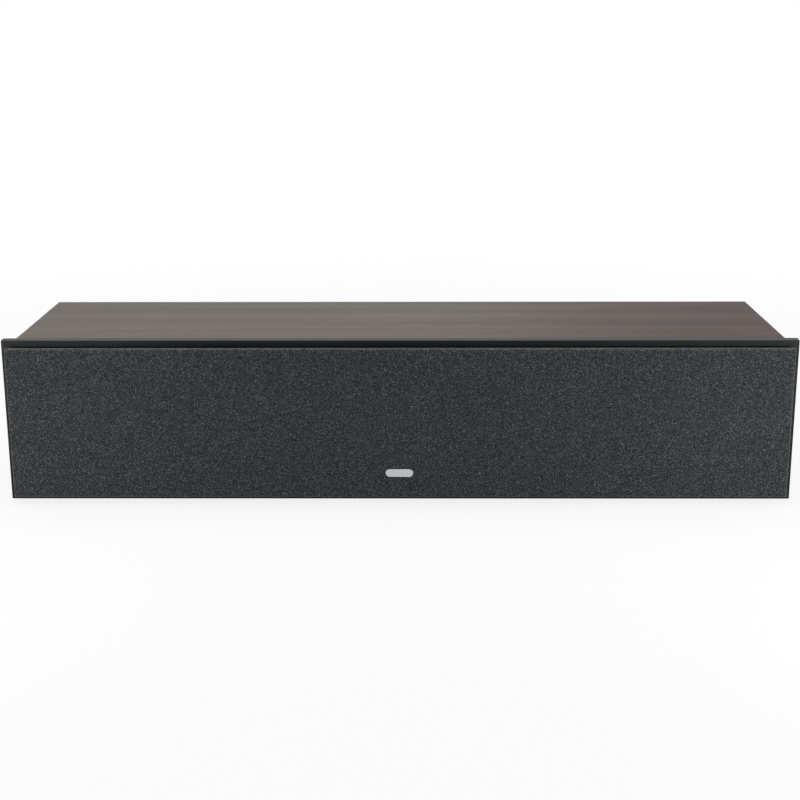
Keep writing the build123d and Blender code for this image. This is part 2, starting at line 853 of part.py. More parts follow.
def terminal_cup():
    """The moulded recess that carries the binding posts."""
    floor = cup_floor()
    rim = rear_face + cup_flange_thickness
    opening = RectangleRounded(cup_width, cup_height, cup_corner_radius)
    outside = RectangleRounded(
        cup_width + 2 * cup_wall, cup_height + 2 * cup_wall, cup_corner_radius + cup_wall
    )
    flange = RectangleRounded(
        cup_width + 2 * cup_flange_width, cup_height + 2 * cup_wall + 2 * cup_wall, cup_corner_radius + cup_wall
    )
    body = slab(flange, rear_face, rim) + slab(outside, floor - cup_wall, rear_face)
    cuts = [slab(opening, floor, rim)]
    cuts += [Pos(x, 0, 0) * rod(post_radius + post_play, floor - cup_wall, floor) for x in post_x.values()]
    hole = rod(panel_screw_radius + screw_hole_play, rear_face, rim)
    cuts += [Pos(dx, 0, dz) * hole for dx, dz in cup_screws_at()]
    return on_axis(body - cuts)


post_x = {"red": post_spacing / 2, "black": -post_spacing / 2}


def binding_post():
    """The turned metal post: a tail inside the cabinet, a collar on the cup and a socket for a plug."""
    floor = cup_floor()
    end = floor + post_length
    bottom = end - socket_depth
    return turned(
        [
            (0, floor - cup_wall - post_tail_length),
            (post_radius, floor - cup_wall - post_tail_length),
            (post_radius, floor),
            (post_collar_radius, floor),
            (post_collar_radius, floor + post_collar_thickness),
            (post_radius, floor + post_collar_thickness),
            (post_radius, end),
            (socket_radius, end),
            (socket_radius, bottom),
            (0, bottom),
        ]
    )


def thumb_nut():
    """The fluted nut that clamps a bare wire on the post's collar."""
    front = cup_floor() + post_collar_thickness
    back = front + nut_length
    nut = turned(
        [
            (post_radius + nut_play, front),
            (nut_radius, front),
            (nut_radius, back - nut_chamfer),
            (nut_radius - nut_chamfer, back),
            (post_radius + nut_play, back),
        ]
    )
    flute = Pos(nut_radius, 0, 0) * rod(nut_flute_radius, front, back)
    pitch = 360 / nut_flute_count
    return nut - [Rot(0, turn * pitch, 0) * flute for turn in range(nut_flute_count)]


# Crossover

circuit_board_bottom = cabinet_floor + circuit_board_height
circuit_board_top = circuit_board_bottom + circuit_board_thickness
circuit_board_y = baffle_front + circuit_board_setback


def board_corners():
    """The four fixing points of the circuit board."""
    x, y = board_length / 2 - spacer_inset, board_width / 2 - spacer_inset
    return [(sx * x, circuit_board_y + sy * y) for sx in (-1, 1) for sy in (-1, 1)]


def crossover_board():
    """The circuit board that carries the crossover parts."""
    board = Box(board_length, board_width, circuit_board_thickness, align=(Align.CENTER, Align.CENTER, Align.MIN))
    board = Pos(0, circuit_board_y, circuit_board_bottom) * board
    hole = Cylinder(
        panel_screw_radius + screw_hole_play, circuit_board_thickness, align=(Align.CENTER, Align.CENTER, Align.MIN)
    )
    return board - [Pos(x, y, circuit_board_bottom) * hole for x, y in board_corners()]


def board_spacers():
    """Four sleeves that hold the circuit board off the floor of the cabinet."""
    bottom_aligned = (Align.CENTER, Align.CENTER, Align.MIN)
    sleeve = Cylinder(spacer_radius, circuit_board_height, align=bottom_aligned)
    sleeve -= Cylinder(panel_screw_radius + screw_hole_play, circuit_board_height, align=bottom_aligned)
    return group(Pos(x, y, cabinet_floor) * sleeve for x, y in board_corners())


def inductor(radius, height):
    """A coil of enamelled wire on a bobbin, standing on the circuit board."""
    outline = [
        (inductor_core_radius, 0),
        (radius, 0),
        (radius, inductor_cheek),
        (radius - inductor_cheek, inductor_cheek),
        (radius - inductor_cheek, height - inductor_cheek),
        (radius, height - inductor_cheek),
        (radius, height),
        (inductor_core_radius, height),
    ]
    return revolve(make_face(Plane.XZ * Polyline(*outline, close=True)), Axis.Z)


def component_columns():
    """Places along the circuit board for the two coils, the capacitors and the resistor."""
    first = -board_length / 2 + 2 * spacer_inset + inductor_radius
    second = first + inductor_radius + component_gap + small_inductor_radius
    third = second + small_inductor_radius + component_gap + capacitor_radius
    fourth = third + 2 * capacitor_radius + component_gap
    return first, second, third, fourth


def woofer_inductor():
    """The large coil in the woofers' low-pass section."""
    return Pos(component_columns()[0], circuit_board_y, circuit_board_top) * inductor(inductor_radius, inductor_height)


def tweeter_inductor():
    """The small coil in the tweeter's high-pass section."""
    coil = inductor(small_inductor_radius, small_inductor_height)
    return Pos(component_columns()[1], circuit_board_y, circuit_board_top) * coil


def capacitors():
    """The two film capacitors, lying side by side."""
    can = slab(Circle(capacitor_radius), -capacitor_length / 2, capacitor_length / 2)
    can = fillet(can.edges().filter_by(GeomType.CIRCLE), capacitor_end_radius)
    height = circuit_board_top + capacitor_radius + component_seat_gap
    return group(Pos(x, circuit_board_y, height) * can for x in component_columns()[2:])


def power_resistor():
    """The cement resistor that levels the tweeter with the woofers."""
    block = Box(resistor_length, resistor_side, resistor_side, align=(Align.CENTER, Align.CENTER, Align.MIN))
    y = circuit_board_y + board_width / 2 - resistor_side / 2 - component_gap / 2
    return Pos(0, y, circuit_board_top) * block


# Fasteners

def driver_screw():
    """A black socket-head screw, drawn from the baffle's front face."""
    shank_end = driver_head_thickness + driver_screw_length
    screw = rod(driver_head_radius, 0, driver_head_thickness)
    screw += rod(driver_screw_radius, driver_head_thickness, shank_end)
    return screw - slab(RegularPolygon(driver_socket_size, 6), 0, driver_socket_depth)


def driver_screws():
    """Twenty screws that hold the four woofers and the waveguide on the baffle."""
    screw = driver_screw()
    places = [(x + dx, dz) for x in woofer_x.values() for dx, dz in woofer_screws] + waveguide_screws
    return group(at_baffle(screw, x, z) for x, z in places)


def panel_screw():
    """A small pan-head screw, standing on its tip side down the Z axis with its head's seat at 0."""
    bottom_aligned = (Align.CENTER, Align.CENTER, Align.MIN)
    head = Cylinder(panel_head_radius, panel_head_thickness, align=bottom_aligned)
    shank = Cylinder(panel_screw_radius, panel_screw_length, align=(Align.CENTER, Align.CENTER, Align.MAX))
    return head + shank


def panel_screws():
    """Eight screws: four hold the terminal cup, and four hold the circuit board on its spacers."""
    screw = panel_screw()
    cup_seat = rear_face + cup_flange_thickness
    cup = [Pos(dx, cup_seat, axis_height + dz) * Rot(-90, 0, 0) * screw for dx, dz in cup_screws_at()]
    board = [Pos(x, y, circuit_board_top) * screw for x, y in board_corners()]
    return group(cup + board)


def bottom_board():
    """The bottom board, drilled for the circuit board's screws."""
    depth = panel_screw_length - circuit_board_thickness - circuit_board_height
    pilot = Cylinder(
        panel_screw_radius + screw_play, depth, align=(Align.CENTER, Align.CENTER, Align.MAX)
    )
    return long_board(-1) - [Pos(x, y, cabinet_floor) * pilot for x, y in board_corners()]


# Assembly

def build():
    """Every piece of the loudspeaker by its node name."""
    parts = {
        "top_board": long_board(1),
        "bottom_board": bottom_board(),
        "left_board": end_board(-1),
        "right_board": end_board(1),
        "rear_panel": rear_panel(),
        "front_baffle": front_baffle(),
        "left_brace": brace(-1),
        "right_brace": brace(1),
        "rubber_feet": rubber_feet(),
        "grille_frame": grille_frame(),
        "grille_cloth": grille_cloth(),
        "grille_magnets": grille_magnets(),
        "baffle_magnets": baffle_magnets(),
        "badge_plate": badge_plate(),
        "left_port_tube": on_axis(port_tube(), -outer_woofer_x),
        "right_port_tube": on_axis(port_tube(), outer_woofer_x),
        "terminal_cup": terminal_cup(),
        "tweeter_waveguide": at_baffle(tweeter_waveguide()),
        "tweeter_dome": at_baffle(tweeter_dome()),
        "tweeter_voice_coil": at_baffle(tweeter_voice_coil()),
        "tweeter_top_plate": at_baffle(tweeter_top_plate()),
        "tweeter_magnet": at_baffle(tweeter_magnet()),
        "tweeter_yoke": at_baffle(tweeter_yoke()),
        "crossover_board": crossover_board(),
        "board_spacers": board_spacers(),
        "woofer_inductor": woofer_inductor(),
        "tweeter_inductor": tweeter_inductor(),
        "capacitors": capacitors(),
        "power_resistor": power_resistor(),
        "driver_screws": driver_screws(),
        "panel_screws": panel_screws(),
    }
    for colour, x in post_x.items():
        parts[f"{colour}_binding_post"] = on_axis(binding_post(), x)
        parts[f"{colour}_thumb_nut"] = on_axis(thumb_nut(), x)
    separate = {
        "basket": woofer_basket(),
        "surround": woofer_surround(),
        "cone": woofer_cone(),
        "dust_cap": dust_cap(),
        "voice_coil": woofer_voice_coil(),
    }
    for woofer, x in woofer_x.items():
        for piece, shape in separate.items():
            parts[f"{woofer}_{piece}"] = at_baffle(shape, x)
    shared = {
        "woofer_spiders": woofer_spider(),
        "woofer_top_plates": woofer_top_plate(),
        "woofer_magnets": woofer_magnet(),
        "woofer_yokes": woofer_yoke(),
    }
    for node, shape in shared.items():
        parts[node] = group(at_baffle(shape, x) for x in woofer_x.values())
    return parts


os.makedirs("parts", exist_ok=True)
for node, shape in build().items():
    export_step(shape, f"parts/{node}.step")
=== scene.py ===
"""The finished look of a slim center channel loudspeaker, dressed piece by piece over its solid model.

Metres. +X is the listener's right, +Y runs from the grille to the terminals, +Z is up.
"""

from math import cos, hypot, pi, radians, sin

import bmesh
import bpy
from mathutils import Matrix, Vector
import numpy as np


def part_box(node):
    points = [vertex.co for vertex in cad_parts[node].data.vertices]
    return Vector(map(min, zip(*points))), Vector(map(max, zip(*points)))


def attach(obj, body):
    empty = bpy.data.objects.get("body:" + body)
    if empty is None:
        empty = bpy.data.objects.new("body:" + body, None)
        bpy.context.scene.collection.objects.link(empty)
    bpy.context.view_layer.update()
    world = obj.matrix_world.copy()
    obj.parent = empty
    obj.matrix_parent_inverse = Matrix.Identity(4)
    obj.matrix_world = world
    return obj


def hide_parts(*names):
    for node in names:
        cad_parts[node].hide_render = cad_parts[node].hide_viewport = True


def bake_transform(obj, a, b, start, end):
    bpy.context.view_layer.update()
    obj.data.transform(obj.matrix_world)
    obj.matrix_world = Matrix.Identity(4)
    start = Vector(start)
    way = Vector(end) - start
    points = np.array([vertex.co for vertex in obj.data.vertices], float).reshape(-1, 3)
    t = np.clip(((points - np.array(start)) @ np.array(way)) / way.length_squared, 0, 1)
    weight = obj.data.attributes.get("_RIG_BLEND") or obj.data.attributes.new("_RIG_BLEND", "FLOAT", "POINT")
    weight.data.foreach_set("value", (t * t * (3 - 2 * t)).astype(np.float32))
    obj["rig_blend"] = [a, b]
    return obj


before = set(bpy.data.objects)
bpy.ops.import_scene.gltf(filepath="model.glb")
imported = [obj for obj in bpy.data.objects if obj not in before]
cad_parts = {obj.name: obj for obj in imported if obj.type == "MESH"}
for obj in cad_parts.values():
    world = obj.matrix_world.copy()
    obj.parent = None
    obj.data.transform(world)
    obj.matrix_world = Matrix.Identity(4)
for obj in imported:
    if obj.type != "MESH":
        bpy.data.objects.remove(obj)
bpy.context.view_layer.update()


# Cabinet boards.
# Four fibreboard panels, mitred at the corners and wrapped in one run of dark walnut vinyl, so the grain
# runs the length of the top and bottom and turns down over the ends.

MM = 0.001
# Span of a painted sheen of the overhead light along the top.
PAINTED_SHEEN_ENDS = (-0.34, 0.34)
PRINT_FADE = (-0.08, 0.10)
# Heartwood share along that span: low where the painted sheen lies, full at the right end.
PAINTED_SHEEN_FALLOFF = [(0.0, 0.22), (0.20, 0.0), (0.54, 0.03), (0.96, 1.0)]


def blank_finish(name):
    """A new finish: its node tree and its surface shader."""
    finish = bpy.data.materials.new(name)
    finish.use_nodes = True
    return finish, finish.node_tree, finish.node_tree.nodes["Principled BSDF"]


def wire(tree, made, inputs):
    """Puts plain values or other nodes' sockets on a node's inputs."""
    for name, value in inputs.items():
        if isinstance(value, bpy.types.NodeSocket):
            tree.links.new(value, made.inputs[name])
        else:
            made.inputs[name].default_value = value


def node(tree, kind, inputs=None, **settings):
    """Adds one shader node with its settings and inputs."""
    made = tree.nodes.new(f"ShaderNode{kind}")
    for setting, value in settings.items():
        setattr(made, setting, value)
    wire(tree, made, inputs or {})
    return made


def counted_place(tree, per_metre):
    """Places on the object in cells per metre, one count for every way or a list for X, Y and Z."""
    scale = per_metre if isinstance(per_metre, list) else [per_metre] * 3
    place = node(tree, "TexCoord").outputs["Object"]
    return node(tree, "Mapping", {"Vector": place, "Scale": scale}).outputs["Vector"]


def mottle(tree, per_metre, detail, roughness=0.5, distortion=0.0):
    """Soft uneven patches, from 0 to 1."""
    return node(tree, "TexNoise", {
        "Vector": counted_place(tree, per_metre), "Scale": 1.0, "Detail": detail,
        "Roughness": roughness, "Distortion": distortion}).outputs["Fac"]


def tones(tree, amount, stops):
    """Colours along a ramp, from (position, colour) stops."""
    ramp = node(tree, "ValToRGB", {"Fac": amount})
    while len(ramp.color_ramp.elements) < len(stops):
        ramp.color_ramp.elements.new(0.5)
    for element, (position, colour) in zip(ramp.color_ramp.elements, stops):
        element.position = position
        element.color = (*colour, 1.0)
    return ramp.outputs["Color"]


def levels(tree, amount, low, high):
    """Maps a texture's 0 to 1 onto a plain range."""
    return node(tree, "MapRange", {"Value": amount, "To Min": low, "To Max": high}).outputs["Result"]


def way_between(tree, amount, ends):
    """How far an amount has come from one end to the other, from 0 to 1."""
    start, end = ends
    return node(tree, "MapRange", {"Value": amount, "From Min": start, "From Max": end}).outputs["Result"]


def multiplied(tree, colour, shade):
    """A colour made paler or darker by another."""
    mixed = node(tree, "MixRGB", {"Fac": 1.0, "Color1": colour, "Color2": shade}, blend_type="MULTIPLY")
    return mixed.outputs["Color"]


def raised(tree, shader, height, depth, strength=1.0):
    """Raises the surface by a texture, to a real depth in metres."""
    bump = node(tree, "Bump", {"Height": height, "Distance": depth, "Strength": strength})
    tree.links.new(bump.outputs["Normal"], shader.inputs["Normal"])


def walnut_vinyl(name, grain):
    """Dark walnut print under a satin topcoat, with its grain along one axis of the object.

    Grey sapwood turns to redder heartwood in patches, and more of it does so towards the cabinet's right
    end: the grey on the left and middle of the top is a painted sheen of the overhead light, fading to the
    right. The print is greyer towards the back.
    """

    def along(run, across):
        return [run if axis == grain else across for axis in "XYZ"]

    finish, tree, shader = blank_finish(name)
    bands = mottle(tree, along(1.7, 38.0), 4.0, distortion=0.5)
    blush = mottle(tree, along(3.4, 16.0), 3.0)
    fibres = mottle(tree, along(16.0, 900.0), 3.0)
    pores = mottle(tree, along(40.0, 1500.0), 1.0)
    sapwood = tones(tree, bands, [
        (0.30, (0.088, 0.073, 0.056)), (0.50, (0.112, 0.095, 0.075)), (0.72, (0.138, 0.118, 0.095))])
    heartwood = tones(tree, bands, [
        (0.30, (0.030, 0.015, 0.011)), (0.50, (0.045, 0.024, 0.018)), (0.72, (0.063, 0.037, 0.029))])
    place = node(tree, "SeparateXYZ", {"Vector": counted_place(tree, 1.0)}).outputs
    patch = levels(tree, blush, -0.44, 0.60)
    # More heartwood towards the right end is painted sheen: pale grey on the left, gone at the right.
    sheen_falloff = tones(tree, way_between(tree, place["X"], PAINTED_SHEEN_ENDS), [
        (position, (share, share, share)) for position, share in PAINTED_SHEEN_FALLOFF])
    heart_and_sheen_falloff = node(tree, "Math", {0: patch, 1: sheen_falloff}, operation="ADD").outputs["Value"]
    share = node(tree, "Clamp", {"Value": heart_and_sheen_falloff}).outputs["Result"]
    colour = node(tree, "MixRGB", {"Fac": share, "Color1": sapwood, "Color2": heartwood}).outputs["Color"]
    back = way_between(tree, place["Y"], PRINT_FADE)
    fade = tones(tree, back, [(0.0, (1.05, 1.0, 1.02)), (1.0, (0.89, 0.93, 1.0))])
    pit = tones(tree, pores, [(0.30, (0.50, 0.47, 0.45)), (0.38, (1.0, 1.0, 1.0))])
    for shade in (fade, levels(tree, fibres, 0.80, 1.20), pit):
        colour = multiplied(tree, colour, shade)
    wire(tree, shader, {
        "Base Color": colour, "Roughness": levels(tree, fibres, 0.46, 0.60), "Specular IOR Level": 0.21})
    raised(tree, shader, pit, 0.05 * MM, 0.5)
    return finish


def dress(nodes, finish):
    """Gives solid pieces their finish."""
    for name in nodes:
        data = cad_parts[name].data
        data.materials.clear()
        data.materials.append(finish)


dress(["top_board", "bottom_board"], walnut_vinyl("walnut_lengthwise", "X"))
dress(["left_board", "right_board"], walnut_vinyl("walnut_upright", "Z"))


# Rear panel and braces.
# The back is black-wrapped fibreboard glued in behind the cabinet's edge. The braces are the same board
# left raw, slotted in between the woofers where nobody sees them.

def cells(tree, per_metre, randomness=1.0):
    """Small round cells: each point's distance from the middle of its cell, and the cell's chance colour."""
    return node(tree, "TexVoronoi", {
        "Vector": counted_place(tree, per_metre), "Scale": 1.0, "Randomness": randomness}).outputs


def black_vinyl():
    """Black wrap with a fine pebble pressed into it."""
    finish, tree, shader = blank_finish("black_vinyl")
    pebble = cells(tree, 620.0)["Distance"]
    cloud = mottle(tree, 24.0, 4.0)
    wire(tree, shader, {
        "Base Color": tones(tree, cloud, [(0.35, (0.010, 0.010, 0.010)), (0.70, (0.019, 0.019, 0.019))]),
        "Roughness": levels(tree, pebble, 0.42, 0.62)})
    raised(tree, shader, pebble, 0.12 * MM, 0.6)
    return finish


def raw_fibreboard():
    """Pressed brown wood fibre."""
    finish, tree, shader = blank_finish("raw_fibreboard")
    fibre = mottle(tree, 900.0, 6.0)
    wire(tree, shader, {
        "Base Color": tones(tree, fibre, [(0.30, (0.16, 0.10, 0.055)), (0.70, (0.34, 0.24, 0.14))]),
        "Roughness": 0.9})
    raised(tree, shader, fibre, 0.2 * MM, 0.5)
    return finish


dress(["rear_panel"], black_vinyl())
dress(["left_brace", "right_brace"], raw_fibreboard())


# Rubber feet.
# Four moulded rubber buttons screwed under the bottom board. They lift the baffle just clear of the shelf.

def moulded_rubber(name, tone):
    """Matte black rubber with the faint bloom it gets in the mould."""
    finish, tree, shader = blank_finish(name)
    bloom = mottle(tree, 130.0, 5.0)
    grit = mottle(tree, 2200.0, 2.0)
    dull = (tone * 0.75, tone * 0.75, tone * 0.75)
    bloomed = (tone * 1.5, tone * 1.5, tone * 1.55)
    wire(tree, shader, {
        "Base Color": tones(tree, bloom, [(0.30, dull), (0.75, bloomed)]),
        "Roughness": levels(tree, bloom, 0.55, 0.75)})
    raised(tree, shader, grit, 0.04 * MM, 0.5)
    return finish


dress(["rubber_feet"], moulded_rubber("foot_rubber", 0.016))


# Front baffle.
# A thick fibreboard plate in satin black lacquer, a few millimetres larger than the cabinet all round, with
# its front edges eased. The drivers and the magnets that hold the grille are let into it.

def black_lacquer():
    """Satin black lacquer with a trace of orange peel."""
    finish, tree, shader = blank_finish("black_lacquer")
    peel = mottle(tree, 420.0, 2.0)
    haze = mottle(tree, 18.0, 4.0)
    deep, pale = (0.0110, 0.0138, 0.0122), (0.0165, 0.0203, 0.0182)
    wire(tree, shader, {
        "Base Color": tones(tree, haze, [(0.30, deep), (0.75, pale)]),
        "Roughness": levels(tree, haze, 0.36, 0.46), "Specular IOR Level": 0.09})
    raised(tree, shader, peel, 0.03 * MM, 0.4)
    return finish


dress(["front_baffle"], black_lacquer())


# Bass ports and terminal cup.
# Injection-moulded black plastic: two flared tubes pushed through the rear panel, and the recess between
# them that carries the binding posts.

def moulded_black_plastic(name, grain_per_metre, grain_depth, roughness):
    """Black plastic from a spark-eroded mould."""
    finish, tree, shader = blank_finish(name)
    grain = mottle(tree, grain_per_metre, 3.0)
    flow = mottle(tree, 22.0, 3.0)
    wire(tree, shader, {
        "Base Color": tones(tree, flow, [(0.30, (0.011, 0.011, 0.012)), (0.75, (0.020, 0.020, 0.021))]),
        "Roughness": levels(tree, grain, roughness - 0.08, roughness + 0.08)})
    raised(tree, shader, grain, grain_depth, 0.5)
    return finish


fitting_plastic = moulded_black_plastic("fitting_plastic", 1500.0, 0.06 * MM, 0.48)
dress(["left_port_tube", "right_port_tube", "terminal_cup"], fitting_plastic)


# Binding posts.
# Each is a turned brass post, gold flashed, with a moulded nut that screws down on the wire: red for the
# live side and black for the return.

def gilt_brass():
    """Gold-flashed brass with the fine rings that the lathe leaves."""
    finish, tree, shader = blank_finish("gilt_brass")
    rings = mottle(tree, [60.0, 5200.0, 60.0], 1.0)
    wire(tree, shader, {
        "Base Color": tones(tree, rings, [(0.35, (0.60, 0.40, 0.13)), (0.65, (0.78, 0.57, 0.24))]),
        "Roughness": levels(tree, rings, 0.18, 0.32), "Metallic": 1.0})
    raised(tree, shader, rings, 0.01 * MM, 0.4)
    return finish


def nut_plastic(name, deep, bright):
    """Glossy moulded plastic, a little cloudy."""
    finish, tree, shader = blank_finish(name)
    cloud = mottle(tree, 160.0, 3.0)
    wire(tree, shader, {
        "Base Color": tones(tree, cloud, [(0.30, deep), (0.75, bright)]),
        "Roughness": levels(tree, cloud, 0.22, 0.34)})
    return finish


dress(["red_binding_post", "black_binding_post"], gilt_brass())
dress(["red_thumb_nut"], nut_plastic("nut_red", (0.32, 0.010, 0.008), (0.48, 0.022, 0.016)))
dress(["black_thumb_nut"], nut_plastic("nut_black", (0.008, 0.008, 0.008), (0.016, 0.016, 0.016)))


# Polarity signs.
# A plus and a minus stand in low relief on the floor of the terminal cup, moulded with it, above the posts.

SIGN_LENGTH = 6.0 * MM
SIGN_WIDTH = 1.4 * MM
SIGN_RELIEF = 0.5 * MM
SIGN_EASE = 0.2 * MM
SIGN_RISE = 14.0 * MM
CUP_WALL = 2.5 * MM


def finished_mesh(name, shape):
    """Turns edited geometry into a smooth-shaded piece in the scene."""
    mesh = bpy.data.meshes.new(name)
    shape.to_mesh(mesh)
    shape.free()
    mesh.shade_smooth()
    piece = bpy.data.objects.new(name, mesh)
    bpy.context.scene.collection.objects.link(piece)
    return piece


def relief_bar(shape, middle, length, height):
    """One raised bar on the cup's floor, with eased edges. Half its depth is sunk in the floor."""
    made = bmesh.ops.create_cube(shape, size=1.0)["verts"]
    bmesh.ops.scale(shape, verts=made, vec=(length, 2 * SIGN_RELIEF, height))
    bmesh.ops.translate(shape, verts=made, vec=middle)
    edges = {edge for vertex in made for edge in vertex.link_edges}
    bmesh.ops.bevel(shape, geom=list(edges), offset=SIGN_EASE, segments=2, affect="EDGES")


cup_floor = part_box("terminal_cup")[0].y + CUP_WALL
signs = [("plus_sign", "red_binding_post", True), ("minus_sign", "black_binding_post", False)]
for name, post, crossed in signs:
    low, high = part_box(post)
    place = Vector(((low.x + high.x) / 2, cup_floor, (low.z + high.z) / 2 + SIGN_RISE))
    shape = bmesh.new()
    relief_bar(shape, place, SIGN_LENGTH, SIGN_WIDTH)
    if crossed:
        relief_bar(shape, place, SIGN_WIDTH, SIGN_LENGTH)
    sign = finished_mesh(name, shape)
    sign.data.materials.append(fitting_plastic)
    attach(sign, "cabinet")


# Woofers.
# Four long-throw drivers with painted steel baskets. Each pressed-fibre cone carries a copper coil on a
# former behind it, in the gap of a motor of steel plates and a ferrite ring.

WOOFERS = ["outer_left_woofer", "inner_left_woofer", "inner_right_woofer", "outer_right_woofer"]


def basket_paint():
    """Satin black paint, baked on steel."""
    finish, tree, shader = blank_finish("basket_paint")
    speck = mottle(tree, 1300.0, 3.0)
    wire(tree, shader, {
        "Base Color": tones(tree, speck, [(0.30, (0.010, 0.010, 0.011)), (0.75, (0.022, 0.022, 0.023))]),
        "Roughness": levels(tree, speck, 0.34, 0.50)})
    raised(tree, shader, speck, 0.05 * MM, 0.5)
    return finish


def pressed_fibre(name, tone):
    """Charcoal paper pulp, pressed and coated, with its fibres showing."""
    finish, tree, shader = blank_finish(name)
    pulp = mottle(tree, 340.0, 8.0, roughness=0.7, distortion=1.6)
    colour = tones(tree, pulp, [
        (0.32, (tone * 0.55, tone * 0.56, tone * 0.58)), (0.52, (tone, tone, tone * 1.03)),
        (0.72, (tone * 1.9, tone * 1.9, tone * 1.95))])
    wire(tree, shader, {"Base Color": colour, "Roughness": levels(tree, pulp, 0.46, 0.70)})
    raised(tree, shader, pulp, 0.12 * MM, 0.6)
    return finish


def wound_copper():
    """Enamelled copper wire, wound turn on turn, with painted shade in the grooves between turns."""
    finish, tree, shader = blank_finish("wound_copper")
    turns = node(tree, "TexWave", {
        "Vector": counted_place(tree, [0.0, 1600.0, 0.0]), "Scale": 1.0, "Distortion": 0.0},
        bands_direction="Y").outputs["Fac"]
    # Dark between the turns is painted shade in the grooves of the winding.
    wire(tree, shader, {
        "Base Color": tones(tree, turns, [(0.0, (0.20, 0.065, 0.025)), (0.8, (0.62, 0.24, 0.10))]),
        "Roughness": 0.35, "Metallic": 1.0})
    raised(tree, shader, turns, 0.1 * MM, 0.8)
    return finish


def zinc_steel():
    """Zinc-plated steel with a soft spangle."""
    finish, tree, shader = blank_finish("zinc_steel")
    spangle = mottle(tree, 240.0, 5.0)
    wire(tree, shader, {
        "Base Color": tones(tree, spangle, [(0.30, (0.42, 0.43, 0.44)), (0.70, (0.60, 0.61, 0.61))]),
        "Roughness": levels(tree, spangle, 0.28, 0.46), "Metallic": 1.0})
    return finish


def sintered_ferrite():
    """Dark grey ferrite, ground flat, with small chips."""
    finish, tree, shader = blank_finish("sintered_ferrite")
    chips = cells(tree, 180.0)["Distance"]
    grain = mottle(tree, 1600.0, 4.0)
    wire(tree, shader, {
        "Base Color": tones(tree, grain, [(0.30, (0.030, 0.030, 0.032)), (0.70, (0.065, 0.065, 0.068))]),
        "Roughness": levels(tree, chips, 0.45, 0.75)})
    raised(tree, shader, grain, 0.08 * MM, 0.5)
    return finish


coil_copper, motor_steel, motor_ferrite = wound_copper(), zinc_steel(), sintered_ferrite()
dress([f"{woofer}_basket" for woofer in WOOFERS], basket_paint())
dress([f"{woofer}_cone" for woofer in WOOFERS], pressed_fibre("cone_fibre", 0.022))
dress([f"{woofer}_dust_cap" for woofer in WOOFERS], pressed_fibre("cap_fibre", 0.018))
dress([f"{woofer}_voice_coil" for woofer in WOOFERS], coil_copper)
dress(["woofer_top_plates", "woofer_yokes"], motor_steel)
dress(["woofer_magnets"], motor_ferrite)


# Woofer surrounds.
# A moulded rubber ring on each woofer: an outer lip glued to the basket, a half-roll that flexes as the cone
# moves, and an inner lip glued on the cone's rim.

SURROUND_SKIN = 0.8 * MM
ROLL_RADIUS = 2.8 * MM
ROLL_CENTER = 42.3 * MM
INNER_LIP = 36.5 * MM
ROLL_STEPS = 12
TURN_STEPS = 96


def turned_ring(name, section, middle):
    """A closed ring, turned from its section of radius and depth about a woofer's axis."""
    ring = bmesh.new()
    loops = []
    for step in range(TURN_STEPS):
        turn = 2 * pi * step / TURN_STEPS
        loops.append([ring.verts.new((middle.x + radius * cos(turn), depth, middle.z + radius * sin(turn)))
                      for radius, depth in section])
    for i, loop in enumerate(loops):
        after = loops[(i + 1) % TURN_STEPS]
        for j in range(len(section)):
            k = (j + 1) % len(section)
            ring.faces.new((loop[j], loop[k], after[k], after[j]))
    bmesh.ops.recalc_face_normals(ring, faces=ring.faces)
    return finished_mesh(name, ring)


def half_roll(woofer):
    """The surround, with its half-roll between two flat lips, and the middle of the woofer there."""
    low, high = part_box(f"{woofer}_surround")
    middle = (low + high) / 2
    back, front = high.y, high.y - SURROUND_SKIN
    outer_lip = (high.z - low.z) / 2

    def arc(radius, steps):
        turns = [pi * step / ROLL_STEPS for step in steps]
        return [(ROLL_CENTER - radius * cos(turn), front - radius * sin(turn)) for turn in turns]

    section = [(INNER_LIP, back), (INNER_LIP, front)]
    section += arc(ROLL_RADIUS + SURROUND_SKIN / 2, range(ROLL_STEPS + 1))
    section += [(outer_lip, front), (outer_lip, back), (ROLL_CENTER + ROLL_RADIUS - SURROUND_SKIN / 2, back)]
    section += arc(ROLL_RADIUS - SURROUND_SKIN / 2, range(ROLL_STEPS, -1, -1))
    section += [(ROLL_CENTER - ROLL_RADIUS + SURROUND_SKIN / 2, back)]
    return turned_ring(f"{woofer}_half_roll", section, middle), middle


def flex_with_cone(ring, woofer, middle, still, moving):
    """Outside one radius the ring stays on the basket, inside the other it moves with the cone."""
    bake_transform(ring, "cabinet", f"{woofer}_diaphragm", start=middle + Vector((still, 0, 0)), end=middle)
    shares = ring.data.attributes["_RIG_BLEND"].data
    for share, vertex in zip(shares, ring.data.vertices):
        radius = hypot(vertex.co.x - middle.x, vertex.co.z - middle.z)
        along = min(max((still - radius) / (still - moving), 0.0), 1.0)
        share.value = along * along * (3 - 2 * along)


surround_rubber = moulded_rubber("surround_rubber", 0.013)
woofer_axes = {}
for woofer in WOOFERS:
    ring, middle = half_roll(woofer)
    woofer_axes[woofer] = middle
    ring.data.materials.append(surround_rubber)
    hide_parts(f"{woofer}_surround")
    flex_with_cone(ring, woofer, middle, ROLL_CENTER + ROLL_RADIUS, ROLL_CENTER - ROLL_RADIUS)


# Woofer spiders.
# A disc of resin-stiffened cotton behind each cone, hot-pressed into round ridges so that it can stretch.
# Its flat edge is glued to a ledge in the basket and its neck to the voice coil's former.

SPIDER_RADIUS = 35.2 * MM
SPIDER_LEDGE = 29.8 * MM
SPIDER_NECK = 13.2 * MM
SPIDER_SKIN = 0.7 * MM
SPIDER_RIDGES = 7
RIDGE_STEPS = 8


